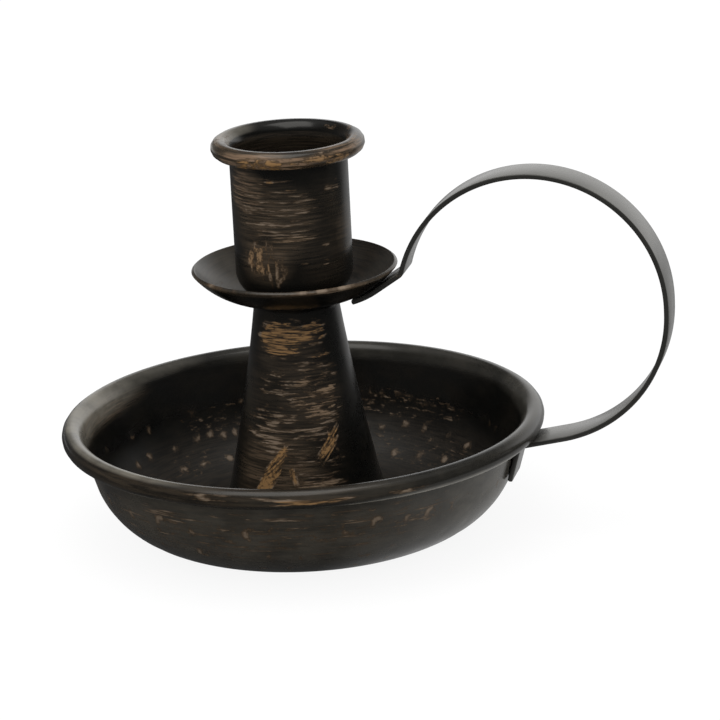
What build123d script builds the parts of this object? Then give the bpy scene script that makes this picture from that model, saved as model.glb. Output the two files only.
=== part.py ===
from build123d import *
from math import acos, asin, atan2, cos, degrees, radians, sin, tan
import os

# A chamberstick of spun sheet steel: a round pan, a conical stem, a dished drip tray and a candle
# socket, all held by one long bolt, with a flat strap bent into a finger loop and welded to the
# tray and the pan.
# Lengths are millimetres and angles are degrees. The origin is on the candle's axis, in the plane
# that the pan stands on. +X points to the finger loop and +Z is up.

# Sheet
SHEET = 1.0               # thickness of the pan, stem, tray and socket
SHEET_BEND_R = 1.5        # inside of the sharp bends in the sheet

# Pan
PAN_RIM_R = 59.0          # outside of the rolled rim
PAN_H = 28.6              # top of the rolled rim
PAN_CORNER_R = 21.0       # outside of the corner between floor and wall
PAN_LEAN = 16.0           # the wall's lean out of upright
PAN_FLARE_R = 3.5         # outside of the flare where the wall turns out to its rim
PAN_FLARE_LEAN = 48.0     # lean at the end of that flare
PAN_BEAD_R = 2.4          # outside of the rolled rim's own section
PAN_CURL_LEAN = 285.0     # lean at the free edge of the roll
PAN_HUB_SLOPE = 60.0      # slope of the raised hub that hides the nut

# Stem
STEM_H = 56.9             # foot to the flat cap
STEM_CAP_R = 8.4          # flat of the cap
STEM_SHOULDER_R = 2.0     # outside of the bend from the cap to the side
STEM_TAPER = 7.9          # the side's lean at the shoulder
STEM_FOOT_R = 21.0        # outside at the foot

# Drip tray
TRAY_RIM_R = 25.0         # underside at the rim
TRAY_CURVE_R = 20.3       # underside of the curve from the flat floor to the rim
TRAY_RIM_SLOPE = 51.5     # slope at the rim

# Candle socket
BORE_R = 13.2             # for a candle of 25 mm, with room to seat it
SOCKET_H = 39.1           # underside of the floor to the top of the rolled rim
SOCKET_CORNER_R = 6.5     # outside of the corner between floor and wall
SOCKET_FLARE_R = 4.0      # outside of the flare where the wall turns out to its rim
SOCKET_FLARE_LEAN = 50.0  # lean at the end of that flare
SOCKET_BEAD_R = 2.15      # outside of the rolled rim's own section
SOCKET_CURL_LEAN = 300.0  # lean at the free edge of the roll

# Tie bolt, washer and nut
BOLT_R = 2.5
BOLT_HEAD_R = 4.75
BOLT_HEAD_H = 3.0
BOLT_HEAD_ROUND = 1.5     # rounding of the head's top edge
BOLT_POINT = 0.6          # chamfer at the bolt's end
BOLT_SPARE = 1.0          # bolt that stands out of the nut
HOLE_CLEARANCE = 0.25     # round the bolt, in the sheets and the washer
THREAD_CLEARANCE = 0.05   # round the bolt, in the nut
WASHER_R = 5.0
WASHER_T = 1.0
NUT_ACROSS_FLATS = 8.0
NUT_H = 4.0
NUT_CHAMFER = 0.4         # the nut's corners, top and bottom
HUB_CLEARANCE = 2.0       # round the washer, under the hub
GROUND_CLEARANCE = 0.5    # under the bolt's end

# Finger loop
STRAP_W = 10.5
STRAP_T = 1.2
WELD_GAP = 0.1            # between the strap and what it is welded to
LOOP_R = 32.3             # middle of the strap
LOOP_STRAIGHT = 1.0       # upright run between the loop's two halves
TRAY_LAP_START = 15.0     # distance of the strap's upper end from the candle's axis
TRAY_LEAVE_SLOPE = 34.5   # the strap's slope where it leaves the tray
RIM_STANDOFF = 1.8        # tray's rim to the start of the kink, counted across
KINK_R = 1.8              # middle of the strap, in the kink below the loop
UNDERPASS_SLOPE = 12.0    # the strap's slope where it passes below the pan's rim
TAB_BEND_R = 2.0          # middle of the strap, in the bend onto the pan's wall
TAB_LAP = 9.2             # bend corner to the strap's lower end

# Heights of the stack on the bolt
HOLE_R = BOLT_R + HOLE_CLEARANCE
HUB_H = GROUND_CLEARANCE + BOLT_SPARE + NUT_H + WASHER_T
HUB_R = WASHER_R + HUB_CLEARANCE
TRAY_Z = SHEET + STEM_H
SOCKET_Z = TRAY_Z + SHEET
BOLT_HEAD_Z = SOCKET_Z + SHEET


def sind(angle):
    return sin(radians(angle))


def cosd(angle):
    return cos(radians(angle))


def toward(angle):
    """Unit vector in a section, counted anticlockwise from outward."""
    return Vector(cosd(angle), sind(angle))


def course(start, angle, steps, shift=0.0):
    """Straight runs and tangent bends, one after the other, in a section of outward and up.

    A run is its length. A bend is its radius and its turn, anticlockwise when positive.
    The shift moves the whole line to its own left.
    """
    direction = toward(angle)
    point = Vector(*start) + toward(angle + 90) * shift
    edges = []
    for step in steps:
        if isinstance(step, tuple):
            radius, turn = step
            radius = radius - shift if turn > 0 else radius + shift
            edge = JernArc(point, direction, radius, turn)
        else:
            edge = Line(point, point + direction * step)
        edges.append(edge)
        point = edge @ 1
        direction = edge % 1
    return edges


def strip(start, angle, steps, right, left):
    """Section between two lines on either side of the same runs and bends."""
    near = course(start, angle, steps, right)
    far = course(start, angle, steps, left)
    ends = [Line(near[0] @ 0, far[0] @ 0), Line(near[-1] @ 1, far[-1] @ 1)]
    return make_face(near + far + ends)


def spun(section):
    """Turn a section about the candle's axis."""
    return revolve(Plane.XZ * section, Axis.Z)


def rim_reach(lean, flare_r, flare_lean, bead_r):
    """Outward and up from the top of a wall's outside to the middle of its rolled rim."""
    curl_r = bead_r - SHEET
    out = flare_r * (cosd(lean) - cosd(flare_lean)) + curl_r * cosd(flare_lean)
    up = flare_r * (sind(flare_lean) - sind(lean)) - curl_r * sind(flare_lean)
    return Vector(out, up)


def rim_bends(lean, flare_r, flare_lean, bead_r, curl_lean):
    """The flare at the top of a wall and the roll that follows it, along the wall's outside."""
    return [(flare_r, lean - flare_lean), (bead_r - SHEET, flare_lean - curl_lean)]


PAN_BEAD = Vector(PAN_RIM_R - PAN_BEAD_R, PAN_H - PAN_BEAD_R)
PAN_WALL_TOP = PAN_BEAD - rim_reach(PAN_LEAN, PAN_FLARE_R, PAN_FLARE_LEAN, PAN_BEAD_R)


def drip_pan():
    hub_drop = (2 * SHEET_BEND_R + SHEET) * (1 - cosd(PAN_HUB_SLOPE))
    hub_flank = (HUB_H - hub_drop) / sind(PAN_HUB_SLOPE)
    hub_across = (2 * SHEET_BEND_R + SHEET) * sind(PAN_HUB_SLOPE) + hub_flank * cosd(PAN_HUB_SLOPE)
    wall_run = (PAN_WALL_TOP.Y - PAN_CORNER_R * (1 - sind(PAN_LEAN))) / cosd(PAN_LEAN)
    floor_r = PAN_WALL_TOP.X - wall_run * sind(PAN_LEAN) - PAN_CORNER_R * cosd(PAN_LEAN)
    steps = [
        HUB_R - HOLE_R,
        (SHEET_BEND_R, -PAN_HUB_SLOPE),
        hub_flank,
        (SHEET_BEND_R + SHEET, PAN_HUB_SLOPE),
        floor_r - HUB_R - hub_across,
        (PAN_CORNER_R, 90 - PAN_LEAN),
        wall_run,
    ]
    steps += rim_bends(PAN_LEAN, PAN_FLARE_R, PAN_FLARE_LEAN, PAN_BEAD_R, PAN_CURL_LEAN)
    return spun(strip((HOLE_R, HUB_H), 0, steps, 0, SHEET))


def stem():
    shoulder_turn = 90 - STEM_TAPER
    across = STEM_FOOT_R - STEM_CAP_R - STEM_SHOULDER_R * sind(shoulder_turn)
    down = STEM_H - STEM_SHOULDER_R * (1 - cosd(shoulder_turn))
    chord_lean = degrees(atan2(across, down))
    side_turn = 2 * (chord_lean - STEM_TAPER)
    side_r = Vector(across, down).length / (2 * sind(side_turn / 2))
    steps = [
        STEM_CAP_R - HOLE_R,
        (STEM_SHOULDER_R, -shoulder_turn),
        (side_r, side_turn),
        SHEET,
    ]
    blank = spun(strip((HOLE_R, TRAY_Z), 0, steps, 0, -SHEET))
    return split(blank, Plane.XY.offset(SHEET), keep=Keep.TOP)


TRAY_CURVE_CENTRE = Vector(TRAY_RIM_R - TRAY_CURVE_R * sind(TRAY_RIM_SLOPE), TRAY_Z + TRAY_CURVE_R)


def drip_tray():
    steps = [
        TRAY_CURVE_CENTRE.X - HOLE_R,
        (TRAY_CURVE_R, TRAY_RIM_SLOPE),
    ]
    return spun(strip((HOLE_R, TRAY_Z), 0, steps, 0, SHEET))


def candle_socket():
    outside_r = BORE_R + SHEET
    reach = rim_reach(0, SOCKET_FLARE_R, SOCKET_FLARE_LEAN, SOCKET_BEAD_R)
    steps = [
        outside_r - SOCKET_CORNER_R - HOLE_R,
        (SOCKET_CORNER_R, 90),
        SOCKET_H - SOCKET_CORNER_R - SOCKET_BEAD_R - reach.Y,
    ]
    steps += rim_bends(0, SOCKET_FLARE_R, SOCKET_FLARE_LEAN, SOCKET_BEAD_R, SOCKET_CURL_LEAN)
    return spun(strip((HOLE_R, SOCKET_Z), 0, steps, 0, SHEET))


def finger_loop():
    beside = WELD_GAP + STRAP_T / 2
    # Along the tray's underside, out past its rim to the kink.
    lap_r = TRAY_CURVE_R + beside
    lap_slope = degrees(asin((TRAY_LAP_START - TRAY_CURVE_CENTRE.X) / lap_r))
    lap_start = TRAY_CURVE_CENTRE + toward(lap_slope - 90) * lap_r
    leave = TRAY_CURVE_CENTRE + toward(TRAY_LEAVE_SLOPE - 90) * lap_r
    leave_run = (TRAY_RIM_R + RIM_STANDOFF - leave.X) / cosd(TRAY_LEAVE_SLOPE)
    kink = leave + toward(TRAY_LEAVE_SLOPE) * leave_run
    # Below the pan's rim, and down against the pan's wall.
    underpass_up = toward(UNDERPASS_SLOPE + 90)
    underpass = PAN_BEAD - underpass_up * (PAN_BEAD_R + beside)
    tab_top = PAN_WALL_TOP + toward(-PAN_LEAN) * beside
    tab_turn = 90 - PAN_LEAN - UNDERPASS_SLOPE
    tab_reach = TAB_BEND_R * tan(radians(tab_turn / 2))
    # The loop leaves the kink at the angle that brings its lower half onto the underpass.
    rise = (kink - Vector(0, LOOP_STRAIGHT) - underpass).dot(underpass_up)
    kink_part = KINK_R * cosd(TRAY_LEAVE_SLOPE - UNDERPASS_SLOPE)
    loop_start = UNDERPASS_SLOPE + degrees(acos((rise + kink_part - LOOP_R) / (LOOP_R + KINK_R)))
    steps = [
        (lap_r, TRAY_LEAVE_SLOPE - lap_slope),
        leave_run,
        (KINK_R, loop_start - TRAY_LEAVE_SLOPE),
        (LOOP_R, -loop_start - 90),
        LOOP_STRAIGHT,
        (LOOP_R, UNDERPASS_SLOPE - 90),
    ]
    arrival = course(lap_start, lap_slope, steps)[-1] @ 1
    wall_gap = (arrival - tab_top).dot(toward(-PAN_LEAN))
    steps += [
        wall_gap / sind(tab_turn) - tab_reach,
        (TAB_BEND_R, tab_turn),
        TAB_LAP - tab_reach,
    ]
    section = strip(lap_start, lap_slope, steps, -STRAP_T / 2, STRAP_T / 2)
    return extrude(Plane.XZ * section, STRAP_W / 2, both=True)


def tie_bolt():
    shank_h = BOLT_HEAD_Z - GROUND_CLEARANCE
    shank = Pos(0, 0, GROUND_CLEARANCE) * Cylinder(
        BOLT_R, shank_h, align=(Align.CENTER, Align.CENTER, Align.MIN)
    )
    shank = chamfer(shank.edges().group_by(Axis.Z)[0], BOLT_POINT)
    head = Pos(0, 0, BOLT_HEAD_Z) * Cylinder(
        BOLT_HEAD_R, BOLT_HEAD_H, align=(Align.CENTER, Align.CENTER, Align.MIN)
    )
    head = fillet(head.edges().group_by(Axis.Z)[-1], BOLT_HEAD_ROUND)
    return shank + head


def base_washer():
    ring = Circle(WASHER_R) - Circle(HOLE_R)
    return Pos(0, 0, HUB_H - WASHER_T) * extrude(ring, WASHER_T)


def base_nut():
    underside = GROUND_CLEARANCE + BOLT_SPARE
    hexagon = RegularPolygon(NUT_ACROSS_FLATS / 2, 6, major_radius=False)
    body = extrude(hexagon - Circle(BOLT_R + THREAD_CLEARANCE), NUT_H)
    corner_r = NUT_ACROSS_FLATS / 2 / cosd(30)
    turned = Cylinder(corner_r, NUT_H, align=(Align.CENTER, Align.CENTER, Align.MIN))
    turned = chamfer(turned.edges().filter_by(GeomType.CIRCLE), NUT_CHAMFER)
    return Pos(0, 0, underside) * (body & turned)


PIECES = {
    "drip_pan": drip_pan,
    "stem": stem,
    "drip_tray": drip_tray,
    "candle_socket": candle_socket,
    "finger_loop": finger_loop,
    "tie_bolt": tie_bolt,
    "base_washer": base_washer,
    "base_nut": base_nut,
}

os.makedirs("parts", exist_ok=True)
for name, make in PIECES.items():
    export_step(make(), f"parts/{name}.step")
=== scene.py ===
import math
from collections import namedtuple

import bpy
import numpy as np
from mathutils import Matrix, Vector


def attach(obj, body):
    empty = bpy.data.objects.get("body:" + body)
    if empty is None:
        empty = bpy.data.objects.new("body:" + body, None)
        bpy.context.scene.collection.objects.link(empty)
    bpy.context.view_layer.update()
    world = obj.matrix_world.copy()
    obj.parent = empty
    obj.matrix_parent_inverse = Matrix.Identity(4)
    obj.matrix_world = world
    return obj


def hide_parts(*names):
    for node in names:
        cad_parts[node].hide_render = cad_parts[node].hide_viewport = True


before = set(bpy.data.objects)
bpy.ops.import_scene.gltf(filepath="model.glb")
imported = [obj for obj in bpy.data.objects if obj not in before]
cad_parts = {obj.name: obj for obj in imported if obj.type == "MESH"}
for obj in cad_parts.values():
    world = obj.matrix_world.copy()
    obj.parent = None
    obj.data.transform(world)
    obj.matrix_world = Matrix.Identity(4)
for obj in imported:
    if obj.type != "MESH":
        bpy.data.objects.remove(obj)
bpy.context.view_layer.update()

# A chamberstick of spun sheet steel: a hammered pan with a rolled rim, a conical stem, a dished
# tray and a candle socket in near-black paint with dry-brushed gold, and a plain black strap bent
# into a finger loop. A long bolt with a washer and a nut holds the stack together.
# Lengths are millimetres until a mesh is made, and meshes are in metres. Angles are degrees.
# The candle's axis is Z, the loop is towards +X, and angles round the axis count from +X.

MM = 0.001

# Sheet
SHEET = 1.0
SHEET_BEND_R = 1.5
EDGE_ROUND = 0.3
HOLE_R = 2.75

# Pan
PAN_RIM_R = 59.0
PAN_H = 28.6
PAN_CORNER_R = 21.0
PAN_LEAN = 16.0
PAN_FLARE_R = 3.5
PAN_FLARE_LEAN = 48.0
PAN_BEAD_R = 2.4
PAN_CURL_LEAN = 285.0
HUB_H = 6.5
HUB_R = 7.0
HUB_SLOPE = 60.0

# Stem
STEM_H = 56.9
STEM_CAP_R = 8.4
STEM_SHOULDER_R = 2.0
STEM_TAPER = 7.9
STEM_FOOT_R = 21.0

# Tray
TRAY_Z = SHEET + STEM_H
TRAY_RIM_R = 25.0
TRAY_CURVE_R = 20.3
TRAY_RIM_SLOPE = 51.5

# Candle socket
SOCKET_Z = TRAY_Z + SHEET
BORE_R = 13.2
SOCKET_H = 39.1
SOCKET_CORNER_R = 6.5
SOCKET_FLARE_R = 4.0
SOCKET_FLARE_LEAN = 50.0
SOCKET_BEAD_R = 2.15
SOCKET_CURL_LEAN = 300.0

# Bolt, washer and nut
BOLT_R = 2.5
BOLT_Z = 0.5
BOLT_HEAD_Z = SOCKET_Z + SHEET
BOLT_HEAD_R = 4.75
BOLT_HEAD_H = 3.0
BOLT_HEAD_ROUND = 1.5
BOLT_POINT = 0.6
BOLT_EDGE = 0.1
BOLT_CENTRE_R = 0.02
CROSS_W = 1.0
CROSS_REACH = 2.3
CROSS_DEPTH = 1.5
CROSS_EDGE = 0.2
CROSS_TAPER = 0.8
CROSS_TOP = 0.8
THREAD_PITCH = 0.8
THREAD_DEPTH = 0.32
THREAD_TOP = 14.0
WASHER_R = 5.0
WASHER_T = 1.0
WASHER_ROUND = 0.2
NUT_Z = 1.5
NUT_ACROSS_FLATS = 8.0
NUT_H = 4.0
NUT_BEVEL_SLOPE = 30.0
NUT_FACE_INSET = 0.15
NUT_BORE_R = 2.55
NUT_BORE_BEVEL = 0.3
NUT_THREAD_DEPTH = 0.2
NUT_THREAD_MARGIN = 0.1

# Finger loop
STRAP_W = 10.5
STRAP_T = 1.2
STRAP_ROUND = 0.35
STRAP_END_BEVEL = 0.2
WELD_GAP = 0.1
LOOP_R = 32.3
LOOP_STRAIGHT = 1.0
TRAY_LAP_START = 15.0
TRAY_LEAVE_SLOPE = 34.5
RIM_STANDOFF = 1.8
KINK_R = 1.8
UNDERPASS_SLOPE = 12.0
TAB_BEND_R = 2.0
TAB_LAP = 9.2

# Hammer marks in the pan's wall: the height of a row, the angle from mark to mark, how much gold
# lies on the row's marks inside, and the angles of the marks that stand out in the photograph
HAMMER_ROWS = (
    (15.6, 8.0, 0.66, (164, 156, 139, 123, 85, 81, 76, 71, 67, 38, 34,
                       -128, -117, -106, -90, -73, -65, -57, -48, -41, -33)),
    (8.7, 8.6, 0.95, (167, 160, 149, 140, 135, 131, 127, 85, 80, 72, 65, 55, 45, -97, -106)),
    (3.9, 10.0, 1.18, (151, 142, 132, 72, 62, 51)),
)
# A mark's depth and spread, how its size and place vary, how near the next one may be, as a share
# of the angle from mark to mark, and the directions that the gold on its edge faces
HAMMER_DEPTH = 0.09
HAMMER_SPREAD = 1.05
HAMMER_SIZES = (0.8, 1.25)
HAMMER_STRAY = 0.5
HAMMER_SPACE = 0.7
HAMMER_FACING = (110, 250)
HAMMER_SEED = 41
# Least and most of a mark's depth, its gold inside and its gold outside, and the gold gained by
# marks that stand out in the photograph or lie where it doesn't show the paint
HAMMER_LEAST = (0.6, 0.2, 0.3)
HAMMER_MOST = (1.0, 0.5, 0.9)
SHOWN_INSIDE = 0.6
SHOWN_OUTSIDE = 0.35

# How finely the meshes are divided
PAN_SIDES = 600
ROUND_SIDES = 192
SMALL_SIDES = 96
SPACING = 0.55
EDGE_POINTS = 5
BEND_POINTS = 8
CORNER_POINTS = 5
HEAD_POINTS = 9
HEAD_SPACING = 0.09
HEAD_MIDDLE_R = 0.05
THREAD_SPACING = THREAD_PITCH / 8

# Camera, fitted to the photograph's outlines
CAMERA_AZIMUTH = 14.0
CAMERA_RISE = 17.636
CAMERA_ROLL = -2.914
CAMERA_DISTANCE = 876.24
CAMERA_ASIDE = 14.652
CAMERA_ABOVE = -0.636
CAMERA_AIM_Z = 41.5
CAMERA_LENS = 180.0
CAMERA_SENSOR = 36.0


# Lines and sections

def sind(angle):
    return math.sin(math.radians(angle))


def cosd(angle):
    return math.cos(math.radians(angle))


def tand(angle):
    return math.tan(math.radians(angle))


def toward(angle):
    return np.array([cosd(angle), sind(angle)])


def course(start, angle, steps):
    """Points along straight runs and tangent bends, and the heading at each.

    A run is its length. A bend is its radius and its turn, anticlockwise when positive.
    """
    points = [np.array(start, float)]
    headings = [angle]
    for step in steps:
        here, heading = points[-1], headings[-1]
        if isinstance(step, tuple):
            radius, turn = step
            side = math.copysign(90.0, turn)
            centre = here + toward(heading + side) * radius
            count = max(BEND_POINTS, round(radius * math.radians(abs(turn)) / SPACING))
            for k in range(1, count + 1):
                headings.append(heading + turn * k / count)
                points.append(centre - toward(headings[-1] + side) * radius)
        else:
            count = max(1, round(step / SPACING))
            for k in range(1, count + 1):
                headings.append(heading)
                points.append(here + toward(heading) * step * k / count)
    return np.array(points), np.array(headings)


def lengths_along(points):
    return np.concatenate([[0], np.cumsum(np.linalg.norm(np.diff(points, axis=0), axis=1))])


def left_of(headings):
    turned = np.radians(np.asarray(headings) + 90)
    return np.stack([np.cos(turned), np.sin(turned)], -1)


def rounded_corners(middles, radius):
    """Outline with a quarter round about each middle, the first one starting outward."""
    outline = []
    for k, middle in enumerate(middles):
        for step in np.linspace(0, 90, CORNER_POINTS):
            outline.append(np.array(middle) + radius * toward(90 * k + step))
    return np.array(outline)


class Section:
    """Closed outline of a strip of sheet, with its cut edges rounded.

    Each point keeps the direction to the left of the line that the strip follows, the distance
    along that line, and its side: 0 on the right and 1 on the left.
    """

    def __init__(self, points, headings, right, left):
        across = left_of(headings)
        ahead = np.stack([across[:, 1], -across[:, 0]], -1)
        line = points.copy()
        line[0] += ahead[0] * EDGE_ROUND
        line[-1] -= ahead[-1] * EDGE_ROUND
        turn = np.pi * np.arange(1, EDGE_POINTS + 1) / (EDGE_POINTS + 1)
        over = np.sign(np.cos(turn)) * np.sqrt(np.abs(np.cos(turn)))
        out = (EDGE_ROUND * np.sqrt(np.sin(turn)))[:, None]
        middle, half = (left + right) / 2, (left - right) / 2
        end = line[-1] + (middle - half * over)[:, None] * across[-1] + out * ahead[-1]
        start = line[0] + (middle + half * over)[:, None] * across[0] - out * ahead[0]
        edge = np.ones(EDGE_POINTS)
        along = lengths_along(points)
        self.points = np.concatenate([line + across * right, end, (line + across * left)[::-1], start])
        self.across = np.concatenate(
            [across, edge[:, None] * across[-1], across[::-1], edge[:, None] * across[0]])
        self.along = np.concatenate([along, edge * along[-1], along[::-1], edge * 0])
        self.side = np.concatenate(
            [np.zeros(len(line)), (1 - over) / 2, np.ones(len(line)), (1 + over) / 2])


# Meshes

def new_piece(name, verts, faces, material):
    mesh = bpy.data.meshes.new(name)
    mesh.from_pydata((np.asarray(verts) * MM).tolist(), [], faces)
    mesh.validate()
    mesh.shade_smooth()
    mesh.materials.append(material)
    piece = bpy.data.objects.new(name, mesh)
    bpy.context.scene.collection.objects.link(piece)
    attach(piece, "root")
    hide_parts(name)
    return piece


def add_values(piece, name, values):
    """Keep one number per vertex for the material to read."""
    layer = piece.data.attributes.new(name, "FLOAT", "POINT")
    layer.data.foreach_set("value", np.asarray(values, np.float32).ravel())


def add_vectors(piece, name, values):
    layer = piece.data.attributes.new(name, "FLOAT_VECTOR", "POINT")
    layer.data.foreach_set("vector", np.asarray(values, np.float32).ravel())


def ring_faces(rows, sides, closed_rows=True):
    """Quads between neighbouring rings of vertices, each ring closed on itself."""
    row = np.arange(rows if closed_rows else rows - 1)
    j, i = np.meshgrid(row, np.arange(sides), indexing="ij")
    next_j = (j + 1) % rows
    next_i = (i + 1) % sides
    corners = (j * sides + i, j * sides + next_i, next_j * sides + next_i, next_j * sides + i)
    return np.stack(corners, -1).reshape(-1, 4).tolist()


class Turned:
    """Points of a section turned about the candle's axis, as rings of vertices."""

    def __init__(self, section, sides):
        self.rows, self.sides = len(section.points), sides
        self.angle = np.broadcast_to(np.arange(sides) * 360 / sides - 180, (self.rows, sides))
        self.radius = np.repeat(section.points[:, :1], sides, 1)
        self.height = np.repeat(section.points[:, 1:], sides, 1)
        self.along = np.repeat(section.along[:, None], sides, 1)
        self.left = np.repeat(section.side[:, None], sides, 1)
        self.right = 1 - self.left
        self.across = np.repeat(section.across[:, None, :], sides, 1)

    def push(self, distance):
        """Move the sheet to the left of its line."""
        self.radius = self.radius + self.across[..., 0] * distance
        self.height = self.height + self.across[..., 1] * distance

    def wrapped(self, radius, height):
        turn = np.radians(self.angle)
        return np.stack([radius * np.cos(turn), radius * np.sin(turn), height], -1).reshape(-1, 3)

    def piece(self, name, slot, material):
        faces = ring_faces(self.rows, self.sides)
        return new_piece(name, self.wrapped(self.radius, self.height), faces, material)


# Brushed gold, film and painted highlights
# A patch is the angle and height of its middle, its half width and half height, how much gold it
# holds (in some tables how much film or painted highlight), and how far its height climbs with each degree
# round the axis.

Patch = namedtuple("Patch", "angle height wide tall gold climb", defaults=(0.0,))
PATCH_SOFT = 0.55
SLANT_CLIMB = 0.29
BACK_TURN = 188.0


def smooth_step(x):
    x = np.clip(x, 0, 1)
    return x * x * (3 - 2 * x)


def turned_apart(angle, centre):
    """Signed difference of two angles round the axis."""
    return (angle - centre + 180) % 360 - 180


def brushed(turned, patches):
    """How much gold, film or painted highlight the patches leave at each point."""
    cover = np.zeros_like(turned.height)
    for patch in patches:
        aside = turned_apart(turned.angle, patch.angle)
        rise = turned.height - patch.height - patch.climb * aside
        reach = np.hypot(aside / patch.wide, rise / patch.tall)
        cover = np.maximum(cover, patch.gold * smooth_step((1 - reach) / PATCH_SOFT))
    return cover


def front_and_back(patches):
    """The same patches again on the far side, where the photograph doesn't show the paint."""
    return list(patches) + [patch._replace(angle=patch.angle + BACK_TURN) for patch in patches]


def paint(piece, turned, reach, **covers):
    """Give a piece its gold, and places for strokes that follow the sheet or climb round it."""
    add_vectors(piece, "skin", turned.wrapped(reach, turned.along))
    add_vectors(piece, "slanted", turned.wrapped(reach, turned.along + SLANT_CLIMB * turned.angle))
    for name, cover in covers.items():
        add_values(piece, name, cover)


# Materials

def put(tree, socket, value):
    """Link a socket, or set it if the value is a plain one."""
    if isinstance(value, bpy.types.NodeSocket):
        tree.links.new(value, socket)
    else:
        socket.default_value = value


def node(tree, kind, settings=None, **inputs):
    """A shader node with its settings, and with values or links for its inputs."""
    made = tree.nodes.new("ShaderNode" + kind)
    for name, value in (settings or {}).items():
        setattr(made, name, value)
    for name, value in inputs.items():
        put(tree, made.inputs[name.replace("_", " ")], value)
    return made


def maths(tree, operation, *values):
    made = node(tree, "Math", {"operation": operation})
    for socket, value in zip(made.inputs, values):
        put(tree, socket, value)
    return made.outputs[0]


Grain = namedtuple("Grain", "size shift detail waver", defaults=(0.0, 3.0, 0.0))
GRAIN_ROUGHNESS = 0.6


def noise(tree, place, grain):
    """Noise whose features have the grain's size along each axis."""
    mapped = node(tree, "Mapping", {"vector_type": "TEXTURE"}, Vector=place,
                  Location=(grain.shift, grain.shift, grain.shift), Scale=grain.size)
    return node(tree, "TexNoise", Vector=mapped.outputs[0], Scale=1.0, Detail=grain.detail,
                Roughness=GRAIN_ROUGHNESS, Distortion=grain.waver).outputs["Fac"]


def ramp(tree, value, low, high, to_low=0.0, to_high=1.0):
    """A smooth climb from one value to another between two levels."""
    made = node(tree, "MapRange", {"interpolation_type": "SMOOTHSTEP"}, Value=value, From_Min=low,
                From_Max=high, To_Min=to_low, To_Max=to_high)
    return made.outputs["Result"]


def blend_colour(tree, share, first, second):
    made = node(tree, "Mix", {"data_type": "RGBA"}, Factor=share)
    put(tree, made.inputs[6], first)
    put(tree, made.inputs[7], second)
    return made.outputs[2]


def new_material(name):
    material = bpy.data.materials.new(name)
    material.use_nodes = True
    tree = material.node_tree
    tree.nodes.clear()
    shader = tree.nodes.new("ShaderNodeBsdfPrincipled")
    output = tree.nodes.new("ShaderNodeOutputMaterial")
    tree.links.new(shader.outputs[0], output.inputs["Surface"])
    return material, tree, shader


def attribute(tree, name, output="Fac"):
    return node(tree, "Attribute", {"attribute_name": name}).outputs[output]


def object_place(tree):
    """Place on the object, in millimetres."""
    place = tree.nodes.new("ShaderNodeTexCoord").outputs["Object"]
    scaled = node(tree, "VectorMath", {"operation": "SCALE"}, Scale=1 / MM)
    tree.links.new(place, scaled.inputs[0])
    return scaled.outputs[0]


def connect(tree, shader, **links):
    for name, value in links.items():
        tree.links.new(value, shader.inputs[name.replace("_", " ")])


def bumped(tree, height, strength, distance):
    """A node for the normal of a surface that a pattern raises by a distance in metres."""
    return node(tree, "Bump", Strength=strength, Distance=distance, Height=height)


def set_gloss(shader, level):
    shader.inputs["Specular IOR Level"].default_value = level
    shader.inputs["Specular Tint"].default_value = PAINT_TINT


# Antique paint
# A span is where a ramp starts and ends, and then its two values where they aren't 0 and 1.

PAINT_DARK = (0.0040, 0.0039, 0.0034, 1)
PAINT_WARM = (0.0080, 0.0066, 0.0048, 1)
PAINT_HAZE = (0.0620, 0.0450, 0.0290, 1)
PAINT_COPPER = (0.2300, 0.1500, 0.0950, 1)
# The pale colour below is a painted highlight, laid where rims and walls would reflect the room.
PAINT_HIGHLIGHT = (0.6000, 0.5560, 0.4600, 1)
GOLD_BROWN = (0.060, 0.037, 0.019, 1)
GOLD_GREY = (0.260, 0.195, 0.138, 1)
GOLD_WARM = (0.370, 0.205, 0.078, 1)
PAINT_GLOSS = 0.5
PAINT_TINT = (1.0, 0.98, 0.93, 1)
CLOUD = Grain((9.0, 9.0, 5.0), 17.0)
CLOUD_SPAN = (0.42, 0.70)
FILM = Grain((9.0, 9.0, 0.45), 19.0, 4.0)
FILM_SPAN = (0.34, 0.66, 0.20, 1.0)
COPPER_SPAN = (0.7, 2.0)
# How the painted highlight below follows the cloud.
HIGHLIGHT_SPAN = (0.30, 0.66, 0.55, 1.0)
SATIN_SPAN = (0.35, 0.70, 0.19, 0.26)
MATT_ROUGH = 0.24
PAINT_GRAIN = Grain((0.35, 0.35, 0.35), 29.0)
PAINT_BUMP = (0.15, 0.00004)

# Gold: the size of each kind of brush mark, the shift of its pattern, and how softly it fades
Mark = namedtuple("Mark", "size shift depth")
MARKS = {
    "streak": Mark((7.0, 7.0, 1.0), 0.0, 0.70),
    "line": Mark((15.0, 15.0, 0.9), 1.0, 0.70),
    "dab": Mark((2.6, 2.6, 1.1), 7.0, 0.95),
    "stroke": Mark((1.9, 1.9, 5.0), 3.0, 0.90),
    "slant": Mark((6.0, 6.0, 1.1), 5.0, 0.75),
}
MARK_DETAIL = 4.0
MARK_WAVER = 0.5
MARK_SHARE = 0.66
GAP_SIZE = 1.2
GAP_SHIFT = 50.0
GAP_SHARE = 0.34
PATTERN_SPAN = (0.36, 0.64)
BRISTLES = Grain((8.0, 8.0, 0.45), 11.0, 3.0, 0.3)
BRISTLE_SPAN = (0.38, 0.60, 0.15, 1.0)
DRY = Grain((0.7, 0.7, 0.7), 13.0)
DRY_SPAN = (0.36, 0.60, 0.45, 1.0)
SPECKS = Grain((1.5, 1.5, 1.5), 9.0, 4.0, 0.4)
SPECK_SHARE = 1.7
SPOT_SPAN = (1.15, 2.05, 0.0, 0.74)
WARMTH_SPAN = (0.72, 1.00)
BROWN_SPAN = (0.0, 0.45)
GOLD_SPAN = (0.25, 1.0)
LEAF_ROUGH = 0.28
LEAF_METAL = 0.15
LEAF_BUMP = (0.5, 0.00006)


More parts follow.
